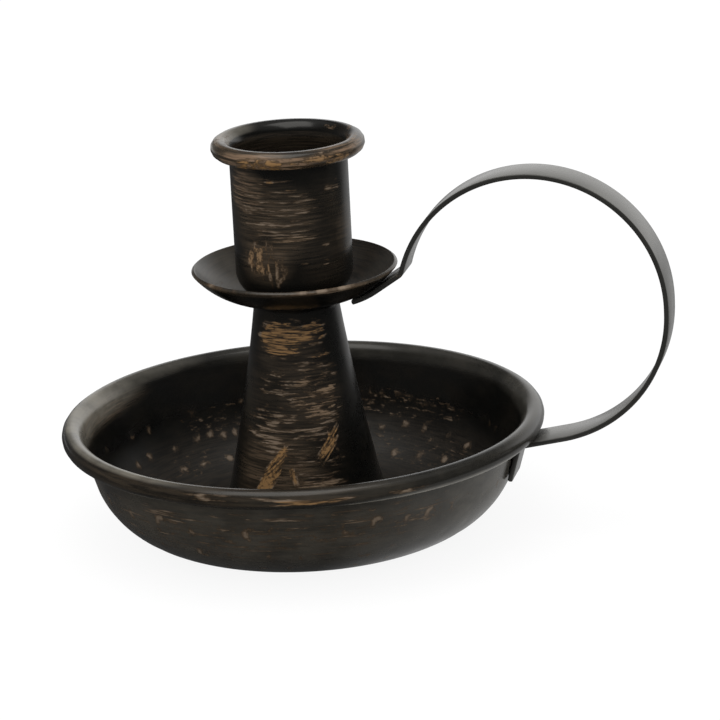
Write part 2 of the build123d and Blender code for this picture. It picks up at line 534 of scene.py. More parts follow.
def brush_marks(tree, name, place):
    """One kind of brush mark: its pattern, raised by how much of it the brush left there."""
    mark = MARKS[name]
    shape = noise(tree, place, Grain(mark.size, mark.shift, MARK_DETAIL, MARK_WAVER))
    gap_size = [math.sqrt(GAP_SIZE * length) for length in mark.size]
    gaps = noise(tree, place, Grain(gap_size, mark.shift + GAP_SHIFT))
    pattern = maths(tree, "MULTIPLY_ADD", shape, MARK_SHARE, maths(tree, "MULTIPLY", gaps, GAP_SHARE))
    level = maths(tree, "ADD", attribute(tree, name), ramp(tree, pattern, *PATTERN_SPAN))
    return ramp(tree, level, 1.0, 1.0 + mark.depth)


def most(tree, values):
    """The largest of several values."""
    largest = values[0]
    for value in values[1:]:
        largest = maths(tree, "MAXIMUM", largest, value)
    return largest


def gold_leaf(tree, place, skin):
    """How thick the gold is, and how warm: marks of a dry brush, and worn hammer marks."""
    slanted = attribute(tree, "slanted", "Vector")
    level = most(tree, [brush_marks(tree, name, skin) for name in ("streak", "line", "dab")])
    steep = most(tree, [brush_marks(tree, "stroke", skin), brush_marks(tree, "slant", slanted)])
    bristles = ramp(tree, noise(tree, skin, BRISTLES), *BRISTLE_SPAN)
    dry = ramp(tree, noise(tree, place, DRY), *DRY_SPAN)
    speck = noise(tree, place, SPECKS)
    spot = maths(tree, "MULTIPLY_ADD", speck, SPECK_SHARE, attribute(tree, "spot"))
    leaf = most(tree, [
        maths(tree, "MULTIPLY", level, bristles),
        maths(tree, "MULTIPLY", steep, dry),
        ramp(tree, spot, *SPOT_SPAN),
    ])
    cover = most(tree, [attribute(tree, name) for name in MARKS])
    return leaf, ramp(tree, cover, *WARMTH_SPAN)


def dark_paint(tree, skin, cloud):
    """The paint under the gold: near black, with a brown film, and a pale painted highlight in places. On
    the pan's left rim the film is a painted highlight too, and in the bore it is painted light that lifts
    the shade.
    """
    dark = blend_colour(tree, ramp(tree, cloud, *CLOUD_SPAN), PAINT_DARK, PAINT_WARM)
    film_and_painted_light = ramp(tree, noise(tree, skin, FILM), *FILM_SPAN)
    # How much film there is. On the pan's left rim it is a painted highlight, and in the bore it is painted
    # light.
    film_and_painted_light = maths(tree, "MULTIPLY", attribute(tree, "haze"), film_and_painted_light)
    dark = blend_colour(tree, film_and_painted_light, dark, PAINT_HAZE)
    dark = blend_colour(tree, ramp(tree, film_and_painted_light, *COPPER_SPAN), dark, PAINT_COPPER)
    # Painted highlight: a pale colour where rims and walls would reflect the room.
    bloom = maths(tree, "MULTIPLY", attribute(tree, "bloom"), ramp(tree, cloud, *HIGHLIGHT_SPAN))
    return blend_colour(tree, bloom, dark, PAINT_HIGHLIGHT)


def antique_paint():
    """Near-black satin paint, with gold left on it by a dry brush, and pale painted highlights in places.
    """
    material, tree, shader = new_material("antique_paint")
    place = object_place(tree)
    skin = attribute(tree, "skin", "Vector")
    leaf, warmth = gold_leaf(tree, place, skin)
    cloud = noise(tree, place, CLOUD)
    gold = blend_colour(tree, warmth, GOLD_GREY, GOLD_WARM)
    colour = blend_colour(tree, ramp(tree, leaf, *BROWN_SPAN), dark_paint(tree, skin, cloud), GOLD_BROWN)
    colour = blend_colour(tree, ramp(tree, leaf, *GOLD_SPAN), colour, gold)
    rough = maths(tree, "MULTIPLY_ADD", leaf, LEAF_ROUGH, ramp(tree, cloud, *SATIN_SPAN))
    rough = maths(tree, "MULTIPLY_ADD", attribute(tree, "matt"), MATT_ROUGH, rough)
    metal = maths(tree, "MULTIPLY", leaf, LEAF_METAL)
    grain = bumped(tree, noise(tree, place, PAINT_GRAIN), *PAINT_BUMP)
    layer = bumped(tree, leaf, *LEAF_BUMP)
    tree.links.new(grain.outputs[0], layer.inputs["Normal"])
    connect(tree, shader, Base_Color=colour, Roughness=rough, Metallic=metal, Normal=layer.outputs[0])
    set_gloss(shader, PAINT_GLOSS)
    return material


# Black paint

BLACK_PAINT = (0.0160, 0.0158, 0.0145, 1)
# The grey below is dust and a painted sheen. It lightens the strap's flat faces where they would reflect
# the room.
BLACK_DUST_AND_SHEEN = (0.1300, 0.1270, 0.1160, 1)
BARE_STEEL = (0.20, 0.15, 0.10, 1)
BLACK_GLOSS = 0.6
BLACK_CLOUD = Grain((8.0, 5.0, 8.0), 0.0, 4.0)
DUST_AND_SHEEN_SPAN = (0.35, 0.72, 0.70, 1.0)
WEAR_SPECKS = Grain((0.6, 0.6, 0.6), 5.0)
WEAR_SPAN = (0.92, 1.12)
BLACK_SATIN_SPAN = (0.30, 0.70, 0.18, 0.26)
BLACK_GRAIN = Grain((0.30, 0.30, 0.30), 9.0)
BLACK_BUMP = (0.22, 0.00004)


def black_paint():
    """Plain satin black, with dust and a painted sheen on its flat faces and less on its edges, worn to
    brown on the sharpest bend.
    """
    material, tree, shader = new_material("black_paint")
    place = object_place(tree)
    cloud = noise(tree, place, BLACK_CLOUD)
    # Dust and a painted sheen, mottled, on the flat faces.
    dust_and_sheen = maths(tree, "MULTIPLY", attribute(tree, "face"), ramp(tree, cloud, *DUST_AND_SHEEN_SPAN))
    dark = blend_colour(tree, dust_and_sheen, BLACK_PAINT, BLACK_DUST_AND_SHEEN)
    wear = maths(tree, "ADD", attribute(tree, "wear"), noise(tree, place, WEAR_SPECKS))
    colour = blend_colour(tree, ramp(tree, wear, *WEAR_SPAN), dark, BARE_STEEL)
    rough = ramp(tree, cloud, *BLACK_SATIN_SPAN)
    bump = bumped(tree, noise(tree, place, BLACK_GRAIN), *BLACK_BUMP)
    connect(tree, shader, Base_Color=colour, Roughness=rough, Normal=bump.outputs[0])
    set_gloss(shader, BLACK_GLOSS)
    return material


# Zinc plate

ZINC_GREY = (0.36, 0.36, 0.34, 1)
ZINC_WARM = (0.50, 0.46, 0.36, 1)
ZINC_CLOUD = Grain((2.5, 2.5, 2.5))
ZINC_SPAN = (0.38, 0.66)
ZINC_LINES = Grain((3.0, 3.0, 0.12), 3.0, 2.0)
ZINC_ROUGH = (0.20, 0.28)
ZINC_BUMP = (0.3, 0.00003)


def plated_steel():
    """Dull zinc plate with a faint yellow cast and fine turning lines."""
    material, tree, shader = new_material("plated_steel")
    place = object_place(tree)
    cloud = noise(tree, place, ZINC_CLOUD)
    colour = blend_colour(tree, ramp(tree, cloud, *ZINC_SPAN), ZINC_GREY, ZINC_WARM)
    rough = maths(tree, "MULTIPLY_ADD", cloud, *ZINC_ROUGH)
    bump = bumped(tree, noise(tree, place, ZINC_LINES), *ZINC_BUMP)
    connect(tree, shader, Base_Color=colour, Roughness=rough, Normal=bump.outputs[0])
    shader.inputs["Metallic"].default_value = 1.0
    return material


ANTIQUE = antique_paint()
BLACK = black_paint()
ZINC = plated_steel()


# Rolled rims

def rim_reach(lean, flare_r, flare_lean, bead_r):
    """Outward and up from the top of a wall's outside to the middle of its rolled rim."""
    curl_r = bead_r - SHEET
    out = flare_r * (cosd(lean) - cosd(flare_lean)) + curl_r * cosd(flare_lean)
    up = flare_r * (sind(flare_lean) - sind(lean)) - curl_r * sind(flare_lean)
    return np.array([out, up])


def rim_bends(lean, flare_r, flare_lean, bead_r, curl_lean):
    return [(flare_r, lean - flare_lean), (bead_r - SHEET, flare_lean - curl_lean)]


# Pan

PAN_BEAD = np.array([PAN_RIM_R - PAN_BEAD_R, PAN_H - PAN_BEAD_R])
PAN_WALL_TOP = PAN_BEAD - rim_reach(PAN_LEAN, PAN_FLARE_R, PAN_FLARE_LEAN, PAN_BEAD_R)
PAN_WALL_LINES = (
    Patch(-100, 14.5, 66, 11.0, 0.50),
    Patch(-103, 17.2, 18, 2.4, 0.66),
    Patch(-118, 14.8, 14, 2.6, 0.52),
    Patch(-88, 19.6, 26, 1.0, 0.66),
    Patch(-105, 9.5, 30, 4.0, 0.48),
    Patch(-55, 17.0, 34, 7.0, 0.46),
)
PAN_RIM_LINES = (
    Patch(-75, 26.0, 17, 1.5, 0.95),
    Patch(-94, 26.9, 15, 1.1, 0.80),
    Patch(-56, 26.0, 18, 1.4, 0.56),
)
PAN_WALL_DABS = (
    Patch(-58, 17.0, 44, 8.0, 0.50),
    Patch(-104, 13.0, 40, 8.0, 0.48),
)
PAN_FLOOR_DABS = (
    Patch(72, 14.5, 34, 5.0, 0.62),
    Patch(125, 13.0, 30, 5.0, 0.54),
    Patch(60, 6.0, 44, 5.0, 0.50),
    Patch(140, 5.0, 40, 4.0, 0.46),
)
PAN_HAZE = (
    Patch(-100, 15.0, 80, 13.0, 0.34),
)
PAN_INSIDE_HAZE_AND_HIGHLIGHT = (
    Patch(75, 4.0, 170, 11.0, 0.36),
    # A painted highlight: a tan film where the left rim would reflect the room.
    Patch(178, 24.6, 30, 4.0, 1.10),
    Patch(-100, 27.0, 60, 3.4, 0.55),
)
# Painted highlights on the pan's rim: pale patches where its top would reflect the room.
PAN_RIM_HIGHLIGHT = (
    Patch(184, 27.0, 36, 5.6, 0.32),
    Patch(158, 28.0, 34, 2.6, 0.10),
    Patch(-140, 28.5, 46, 1.0, 0.24),
    Patch(10, 27.4, 40, 4.0, 0.09),
    Patch(80, 27.6, 70, 3.4, 0.05),
)
# A painted highlight along the lower edge of the rim's bead.
PAN_BEAD_EDGE_HIGHLIGHT = (
    Patch(-30, 24.3, 56, 0.45, 1.00),
    Patch(-36, 26.4, 70, 3.2, 0.03),
    Patch(-135, 24.2, 40, 0.5, 0.25),
)
# Painted reflection on the pan's outer wall, strongest on the right.
PAN_WALL_HIGHLIGHT = (
    Patch(-6, 15.0, 46, 24.0, 0.15),
    Patch(-45, 15.0, 54, 20.0, 0.066),
    Patch(-90, 14.0, 70, 18.0, 0.072),
)
# The radii over which the rim's painted highlight fades outward, and the height over which the wall's
# painted reflection fades in from the foot.
PAN_HIGHLIGHT_EDGE = (58.3, 57.4)
PAN_HIGHLIGHT_FOOT = 4.0
PAN_MATT = (20.0, 8.0)
PAN_SKIN_R = 50.0
PAN_WALL_REACH = 30.0


def pan_course():
    bends = 2 * SHEET_BEND_R + SHEET
    flank = (HUB_H - bends * (1 - cosd(HUB_SLOPE))) / sind(HUB_SLOPE)
    hub_across = bends * sind(HUB_SLOPE) + flank * cosd(HUB_SLOPE)
    wall_run = (PAN_WALL_TOP[1] - PAN_CORNER_R * (1 - sind(PAN_LEAN))) / cosd(PAN_LEAN)
    floor_r = PAN_WALL_TOP[0] - wall_run * sind(PAN_LEAN) - PAN_CORNER_R * cosd(PAN_LEAN)
    steps = [
        HUB_R - HOLE_R,
        (SHEET_BEND_R, -HUB_SLOPE),
        flank,
        (SHEET_BEND_R + SHEET, HUB_SLOPE),
        floor_r - HUB_R - hub_across,
        (PAN_CORNER_R, 90 - PAN_LEAN),
        wall_run,
    ]
    steps += rim_bends(PAN_LEAN, PAN_FLARE_R, PAN_FLARE_LEAN, PAN_BEAD_R, PAN_CURL_LEAN)
    return course((HOLE_R, HUB_H), 0, steps)


def row_of_marks(points, level):
    """Radius and distance along the section at a height of the pan's wall."""
    inward = PAN_WALL_TOP[0] - points[:, 0]
    wall = (inward > 0) & (inward < PAN_WALL_REACH)
    spot = np.argmin(np.where(wall, np.abs(points[:, 1] - level), PAN_H))
    return points[spot, 0], lengths_along(points)[spot]


def marks_round(pitch, seen):
    """Angles of a row's marks: the ones that stand out, then the rest of the row between them."""
    rest = [angle for angle in np.arange(-180, 180, pitch)
            if min(abs(turned_apart(angle, other)) for other in seen) > HAMMER_SPACE * pitch]
    return list(seen) + rest


def hammer_marks(turned, points):
    """Depth of the hammer marks, and the gold on their crowns inside and on their edges outside."""
    rng = np.random.default_rng(HAMMER_SEED)
    depth = np.zeros_like(turned.height)
    crown = np.zeros_like(turned.height)
    edge = np.zeros_like(turned.height)
    for level, pitch, gold, seen in HAMMER_ROWS:
        row_r, row_along = row_of_marks(points, level)
        for k, middle in enumerate(marks_round(pitch, seen)):
            place = row_along + rng.normal(0, HAMMER_STRAY)
            wide, tall = HAMMER_SPREAD * rng.uniform(*HAMMER_SIZES, 2)
            hit, shine, worn = rng.uniform(HAMMER_LEAST, HAMMER_MOST)
            if k < len(seen) or middle < 0:
                shine += SHOWN_INSIDE
            if k < len(seen) or middle > 0:
                worn += SHOWN_OUTSIDE
            facing = math.radians(rng.uniform(*HAMMER_FACING))
            aside = np.radians(turned_apart(turned.angle, middle)) * row_r / wide
            above = (turned.along - place) / tall
            dent = np.exp(-(aside ** 2 + above ** 2) / 2)
            toward_edge = (1 + np.cos(np.arctan2(above, aside) - facing)) / 2
            depth = np.maximum(depth, dent * hit)
            crown = np.maximum(crown, dent * shine * gold)
            edge = np.maximum(edge, 4 * dent * (1 - dent) * toward_edge * worn)
    return depth, crown, edge


def drip_pan():
    points, headings = pan_course()
    turned = Turned(Section(points, headings, 0, SHEET), PAN_SIDES)
    depth, crown, edge = hammer_marks(turned, points)
    dab = np.maximum(
        turned.right * brushed(turned, front_and_back(PAN_WALL_DABS)),
        turned.left * brushed(turned, PAN_FLOOR_DABS))
    line = np.maximum(
        turned.right * brushed(turned, front_and_back(PAN_WALL_LINES)),
        turned.left * brushed(turned, PAN_RIM_LINES))
    # Brown film, which on the left rim is a painted highlight.
    haze = np.maximum(
        turned.right * brushed(turned, front_and_back(PAN_HAZE)),
        turned.left * brushed(turned, PAN_INSIDE_HAZE_AND_HIGHLIGHT))
    # Painted highlight on the rim's top and on its bead's lower edge, and painted reflection on the outer
    # wall.
    outer, inner = PAN_HIGHLIGHT_EDGE
    on_top = (turned.height > PAN_BEAD[1]) | (turned.radius < PAN_BEAD[0])
    on_top = turned.left * on_top * smooth_step((outer - turned.radius) / (outer - inner))
    on_wall = turned.right * smooth_step(turned.height / PAN_HIGHLIGHT_FOOT)
    bloom = np.maximum(
        on_wall * brushed(turned, front_and_back(PAN_WALL_HIGHLIGHT)),
        on_top * brushed(turned, PAN_RIM_HIGHLIGHT))
    on_bead = turned.left * (turned.radius > PAN_BEAD[0])
    bloom = np.maximum(bloom, on_bead * brushed(turned, PAN_BEAD_EDGE_HIGHLIGHT))
    matt_top, matt_foot = PAN_MATT
    matt = turned.left * smooth_step((matt_top - turned.height) / (matt_top - matt_foot))
    turned.push(HAMMER_DEPTH * depth)
    piece = turned.piece("drip_pan", "antique_paint", ANTIQUE)
    paint(piece, turned, PAN_SKIN_R, line=line, dab=dab, haze=haze, bloom=bloom, matt=matt,
          spot=turned.left * crown + turned.right * edge)
    return piece


# Stem

STEM_STREAKS = (
    Patch(-97, 50.3, 48, 6.8, 1.22),
    Patch(-57, 51.6, 26, 4.2, 1.14),
    Patch(-50, 46.2, 22, 2.0, 0.95),
    Patch(-61, 37.0, 44, 13.0, 0.82),
    Patch(-100, 39.5, 36, 5.0, 0.70),
    Patch(-90, 28.0, 62, 10.0, 0.76),
    Patch(-70, 20.0, 46, 6.0, 0.56),
    Patch(-68, 15.6, 38, 3.0, 0.80),
)
STEM_SLANTS = (
    Patch(-104, 17.8, 22, 5.4, 1.20, 0.42),
    Patch(-53, 24.4, 17, 3.8, 1.10, 0.31),
)
STEM_STROKES = (
    Patch(-89, 20.2, 12, 4.0, 0.96, -0.60),
    Patch(-49, 25.2, 8, 2.8, 0.90, -0.40),
)
STEM_MATT = 0.3
STEM_SKIN_R = 15.0
STEM_HAZE = (
    Patch(-96, 30.0, 72, 36.0, 0.36),
    Patch(-92, 47.0, 54, 9.0, 0.70),
    Patch(-68, 36.0, 46, 13.0, 0.70),
    Patch(-100, 19.0, 54, 14.0, 1.20),
)


def stem():
    turn = 90 - STEM_TAPER
    across = STEM_FOOT_R - STEM_CAP_R - STEM_SHOULDER_R * sind(turn)
    down = STEM_H - STEM_SHOULDER_R * (1 - cosd(turn))
    side_turn = 2 * (math.degrees(math.atan2(across, down)) - STEM_TAPER)
    side_r = math.hypot(across, down) / (2 * sind(side_turn / 2))
    steps = [STEM_CAP_R - HOLE_R, (STEM_SHOULDER_R, -turn), (side_r, side_turn)]
    points, headings = course((HOLE_R, TRAY_Z), 0, steps)
    turned = Turned(Section(points, headings, -SHEET, 0), ROUND_SIDES)
    turned.height = np.maximum(turned.height, SHEET)
    piece = turned.piece("stem", "antique_paint", ANTIQUE)
    paint(piece, turned, STEM_SKIN_R,
          streak=turned.left * brushed(turned, front_and_back(STEM_STREAKS)),
          slant=turned.left * brushed(turned, front_and_back(STEM_SLANTS)),
          stroke=turned.left * brushed(turned, front_and_back(STEM_STROKES)),
          matt=np.full_like(turned.height, STEM_MATT),
          haze=turned.left * brushed(turned, front_and_back(STEM_HAZE)))
    return piece


# Tray

TRAY_CURVE_CENTRE = np.array([TRAY_RIM_R - TRAY_CURVE_R * sind(TRAY_RIM_SLOPE), TRAY_Z + TRAY_CURVE_R])
TRAY_EDGE_R = 24.0
TRAY_SKIN_R = 20.0
TRAY_MATT = 0.5
TRAY_RIM_GOLD = (
    Patch(-85, 65.9, 80, 1.6, 0.72),
)
TRAY_RIM_HAZE = 1.3
TRAY_HAZE = 0.5
# Painted highlights on the tray's inside, left and right, where it would reflect the room.
TRAY_HIGHLIGHT = (
    Patch(176, 64.0, 46, 7.0, 0.08),
    Patch(10, 64.0, 40, 7.0, 0.03),
)
TRAY_DABS = (
    Patch(-155, 61.0, 34, 3.4, 0.42),
    Patch(20, 61.0, 34, 3.4, 0.36),
)


def drip_tray():
    steps = [TRAY_CURVE_CENTRE[0] - HOLE_R, (TRAY_CURVE_R, TRAY_RIM_SLOPE)]
    points, headings = course((HOLE_R, TRAY_Z), 0, steps)
    turned = Turned(Section(points, headings, 0, SHEET), ROUND_SIDES)
    at_rim = smooth_step((turned.radius - TRAY_EDGE_R) / (TRAY_RIM_R - TRAY_EDGE_R))
    piece = turned.piece("drip_tray", "antique_paint", ANTIQUE)
    paint(piece, turned, TRAY_SKIN_R,
          line=(turned.radius > TRAY_EDGE_R) * brushed(turned, TRAY_RIM_GOLD),
          dab=turned.left * brushed(turned, TRAY_DABS),
          # painted highlight on the tray's inside
          bloom=turned.left * brushed(turned, TRAY_HIGHLIGHT),
          haze=np.maximum(TRAY_RIM_HAZE * at_rim, TRAY_HAZE * turned.left),
          matt=TRAY_MATT * turned.left * (1 - at_rim))
    return piece


# Candle socket

SOCKET_LINES = (
    Patch(-92, 82.0, 60, 13.0, 0.68),
    Patch(-88, 86.0, 36, 0.9, 0.80),
    Patch(-84, 83.3, 28, 0.8, 0.70),
    Patch(-99, 82.0, 22, 0.7, 0.62),
    Patch(-92, 80.4, 36, 1.2, 0.74),
    Patch(-75, 79.0, 34, 0.8, 0.62),
    Patch(-82, 76.0, 44, 1.6, 0.82),
    Patch(-95, 90.0, 8, 0.8, 0.96),
    Patch(-74, 88.2, 9, 0.8, 0.96),
    Patch(-52, 89.3, 7, 0.9, 0.90),
    Patch(-30, 87.5, 14, 4.6, 0.60),
    Patch(-65, 69.5, 9, 0.8, 0.72),
    Patch(-42, 73.5, 7, 0.8, 0.72),
    Patch(-42, 69.5, 6, 1.7, 0.60),
)
SOCKET_STROKES = (
    Patch(-108, 70.8, 32, 6.6, 0.88),
    Patch(-93, 67.6, 16, 5.4, 0.78),
)
SOCKET_MATT = 0.3
SOCKET_SKIN_R = 14.0
SOCKET_HAZE = (
    Patch(-94, 79.5, 66, 13.0, 0.95),
    Patch(-126, 87.0, 34, 8.0, 1.60),
    Patch(-12, 76.0, 24, 9.0, 0.80),
    Patch(-40, 76.0, 44, 18.0, 0.36),
    Patch(-105, 71.0, 40, 8.0, 1.10),
)
# A painted highlight on the left end of the socket's rim.
SOCKET_RIM_HIGHLIGHT = (
    Patch(176, 97.2, 46, 2.6, 0.20),
)
SOCKET_RIM_DABS = (
    Patch(-98, 95.0, 50, 2.8, 1.05),
    Patch(-45, 95.6, 40, 2.8, 0.92),
    Patch(-4, 96.4, 34, 2.8, 0.80),
    Patch(45, 97.0, 40, 2.0, 0.50),
    Patch(-160, 96.8, 40, 2.6, 0.62),
)
SOCKET_RIM_HAZE = (
    Patch(-150, 97.0, 60, 3.2, 1.10),
    Patch(-95, 95.2, 60, 3.4, 2.50),
    Patch(-30, 96.0, 70, 3.2, 1.80),
)
# The bore's inside gets the brown film as painted light, lifting its shade.
BORE_PAINTED_LIGHT = 0.4


def candle_socket():
    reach = rim_reach(0, SOCKET_FLARE_R, SOCKET_FLARE_LEAN, SOCKET_BEAD_R)
    steps = [
        BORE_R + SHEET - SOCKET_CORNER_R - HOLE_R,
        (SOCKET_CORNER_R, 90),
        SOCKET_H - SOCKET_CORNER_R - SOCKET_BEAD_R - reach[1],
    ]
    steps += rim_bends(0, SOCKET_FLARE_R, SOCKET_FLARE_LEAN, SOCKET_BEAD_R, SOCKET_CURL_LEAN)
    points, headings = course((HOLE_R, SOCKET_Z), 0, steps)
    turned = Turned(Section(points, headings, 0, SHEET), ROUND_SIDES)
    on_rim = turned.left * (turned.radius > BORE_R + SHEET)
    haze = np.maximum(turned.right * brushed(turned, front_and_back(SOCKET_HAZE)),
                      on_rim * brushed(turned, SOCKET_RIM_HAZE))
    # Painted light: film that lifts the shade inside the bore.
    haze = np.maximum(haze, BORE_PAINTED_LIGHT * turned.left * (turned.radius < BORE_R + EDGE_ROUND))
    piece = turned.piece("candle_socket", "antique_paint", ANTIQUE)
    paint(piece, turned, SOCKET_SKIN_R,
          line=turned.right * brushed(turned, front_and_back(SOCKET_LINES)),
          stroke=turned.right * brushed(turned, front_and_back(SOCKET_STROKES)),
          dab=on_rim * brushed(turned, SOCKET_RIM_DABS),
          # painted highlight on the left of the rim
          bloom=on_rim * brushed(turned, SOCKET_RIM_HIGHLIGHT),
          matt=SOCKET_MATT * turned.right,
          haze=haze)
    return piece


# Finger loop

KINK_WEAR = 0.5
KINK_WEAR_R = 1.2
# The share of dust and painted sheen that the strap's edges keep, which leaves them darker.
STRAP_EDGE_DUST_AND_SHEEN = 0.14


def strap_course():
    """The middle of the strap, from under the tray, round the loop and down onto the pan's wall."""
    beside = WELD_GAP + STRAP_T / 2
    lap_r = TRAY_CURVE_R + beside
    lap_slope = math.degrees(math.asin((TRAY_LAP_START - TRAY_CURVE_CENTRE[0]) / lap_r))
    lap_start = TRAY_CURVE_CENTRE + toward(lap_slope - 90) * lap_r
    leave = TRAY_CURVE_CENTRE + toward(TRAY_LEAVE_SLOPE - 90) * lap_r
    leave_run = (TRAY_RIM_R + RIM_STANDOFF - leave[0]) / cosd(TRAY_LEAVE_SLOPE)
    kink = leave + toward(TRAY_LEAVE_SLOPE) * leave_run
    underpass_up = toward(UNDERPASS_SLOPE + 90)
    underpass = PAN_BEAD - underpass_up * (PAN_BEAD_R + beside)
    tab_top = PAN_WALL_TOP + toward(-PAN_LEAN) * beside
    tab_turn = 90 - PAN_LEAN - UNDERPASS_SLOPE
    tab_reach = TAB_BEND_R * tand(tab_turn / 2)
    rise = (kink - [0, LOOP_STRAIGHT] - underpass) @ underpass_up
    kink_part = KINK_R * cosd(TRAY_LEAVE_SLOPE - UNDERPASS_SLOPE)
    lean = math.degrees(math.acos((rise + kink_part - LOOP_R) / (LOOP_R + KINK_R)))
    loop_start = UNDERPASS_SLOPE + lean
    steps = [
        (lap_r, TRAY_LEAVE_SLOPE - lap_slope),
        leave_run,
        (KINK_R, loop_start - TRAY_LEAVE_SLOPE),
        (LOOP_R, -loop_start - 90),
        LOOP_STRAIGHT,
        (LOOP_R, UNDERPASS_SLOPE - 90),
    ]
    arrival = course(lap_start, lap_slope, steps)[0][-1]
    wall_gap = (arrival - tab_top) @ toward(-PAN_LEAN)
    steps += [wall_gap / sind(tab_turn) - tab_reach, (TAB_BEND_R, tab_turn), TAB_LAP - tab_reach]
    points, headings = course(lap_start, lap_slope, steps)
    return points, headings, kink


def strap_outline(inset=0.0):
    """The strap's cross-section: across its width, and through its thickness."""
    wide = STRAP_W / 2 - STRAP_ROUND - inset
    thick = STRAP_T / 2 - STRAP_ROUND - inset
    return rounded_corners([(wide, thick), (-wide, thick), (-wide, -thick), (wide, -thick)], STRAP_ROUND)


def finger_loop():
    points, headings, kink = strap_course()
    across = left_of(headings)
    ahead = np.stack([across[:, 1], -across[:, 0]], -1)
    ends = points[[0, -1]]
    points[0] += ahead[0] * STRAP_END_BEVEL
    points[-1] -= ahead[-1] * STRAP_END_BEVEL

    def ring(point, thick, outline):
        xz = point + outline[:, 1:] * thick
        return np.stack([xz[:, 0], outline[:, 0], xz[:, 1]], -1)

    full, narrow = strap_outline(), strap_outline(STRAP_END_BEVEL)
    rings = [ring(point, thick, full) for point, thick in zip(points, across)]
    rings = [ring(ends[0], across[0], narrow)] + rings + [ring(ends[1], across[-1], narrow)]
    rows, sides = len(rings), len(full)
    faces = ring_faces(rows, sides, closed_rows=False)
    faces.append(list(range(sides))[::-1])
    faces.append(list(range((rows - 1) * sides, rows * sides)))
    verts = np.concatenate(rings)
    piece = new_piece("finger_loop", verts, faces, BLACK)
    away = np.hypot(verts[:, 0] - kink[0], verts[:, 2] - kink[1]) / KINK_WEAR_R
    add_values(piece, "wear", KINK_WEAR * np.exp(-away ** 2))
    # Dust and painted sheen: full on the flat faces, little on the edges.
    on_face = np.abs(verts[:, 1]) < STRAP_W / 2 - STRAP_ROUND / 2
    add_values(piece, "face", np.where(on_face, 1.0, STRAP_EDGE_DUST_AND_SHEEN))
    return piece


# Bolt, washer and nut

def turned_rings(outline, sides):
    """Radius, height and angle of each vertex of an outline turned about the axis."""
    outline = np.array(outline)
    turn = np.radians(np.arange(sides) * 360 / sides)
    return np.repeat(outline[:, :1], sides, 1), np.repeat(outline[:, 1:], sides, 1), turn


def ring_verts(radius, height, turn):
    return np.stack([radius * np.cos(turn), radius * np.sin(turn), height], -1).reshape(-1, 3)


def thread_wave(height, turn):
    """0 to 1 and back along one pitch of the thread, which climbs with the angle."""
    return np.abs(2 * ((height / THREAD_PITCH - turn / (2 * math.pi)) % 1) - 1)


def cross_cut(radius, turn):
    """Share of the recess's depth at each point of the bolt's head."""
    x, y = np.abs(radius * np.cos(turn)), np.abs(radius * np.sin(turn))
    arms = [smooth_step((CROSS_W / 2 - b) / CROSS_EDGE + 0.5) * smooth_step((CROSS_REACH - a) / CROSS_TAPER)
            for a, b in ((x, y), (y, x))]
    return np.maximum(*arms)


def tie_bolt():
    top = BOLT_HEAD_Z + BOLT_HEAD_H
    outline = [(BOLT_CENTRE_R, BOLT_Z), (BOLT_R - BOLT_POINT, BOLT_Z)]
    outline += [(BOLT_R, z) for z in np.arange(BOLT_Z + BOLT_POINT, THREAD_TOP, THREAD_SPACING)]
    outline += [(BOLT_R, THREAD_TOP), (BOLT_R, BOLT_HEAD_Z - BOLT_EDGE / 2)]
    outline += [(BOLT_R + BOLT_EDGE, BOLT_HEAD_Z), (BOLT_HEAD_R - BOLT_EDGE, BOLT_HEAD_Z)]
    outline += [(BOLT_HEAD_R, BOLT_HEAD_Z + BOLT_EDGE)]
    middle = np.array([BOLT_HEAD_R - BOLT_HEAD_ROUND, top - BOLT_HEAD_ROUND])
    outline += [middle + BOLT_HEAD_ROUND * toward(angle) for angle in np.linspace(0, 90, HEAD_POINTS)]
    outline += [(r, top) for r in np.arange(middle[0] - BOLT_EDGE, HEAD_MIDDLE_R, -HEAD_SPACING)]
    radius, height, turn = turned_rings(outline, SMALL_SIDES)
    threaded = (height < THREAD_TOP) & (radius >= BOLT_R - BOLT_POINT)
    on_top = height > top - CROSS_TOP
    cut = CROSS_DEPTH * cross_cut(radius, turn)
    groove = THREAD_DEPTH * (1 - thread_wave(height, turn))
    verts = ring_verts(radius - threaded * groove, height - on_top * cut, turn)
    faces = ring_faces(len(outline), SMALL_SIDES, closed_rows=False)
    faces.append(list(range(SMALL_SIDES))[::-1])
    faces.append(list(range(len(verts) - SMALL_SIDES, len(verts))))
    return new_piece("tie_bolt", verts, faces, ZINC)


def base_washer():
    low, high = HUB_H - WASHER_T + WASHER_ROUND, HUB_H - WASHER_ROUND
    near, far = HOLE_R + WASHER_ROUND, WASHER_R - WASHER_ROUND
    outline = rounded_corners([(far, high), (near, high), (near, low), (far, low)], WASHER_ROUND)
    faces = ring_faces(len(outline), SMALL_SIDES)
    verts = ring_verts(*turned_rings(outline, SMALL_SIDES))
    return new_piece("base_washer", verts, faces, ZINC)


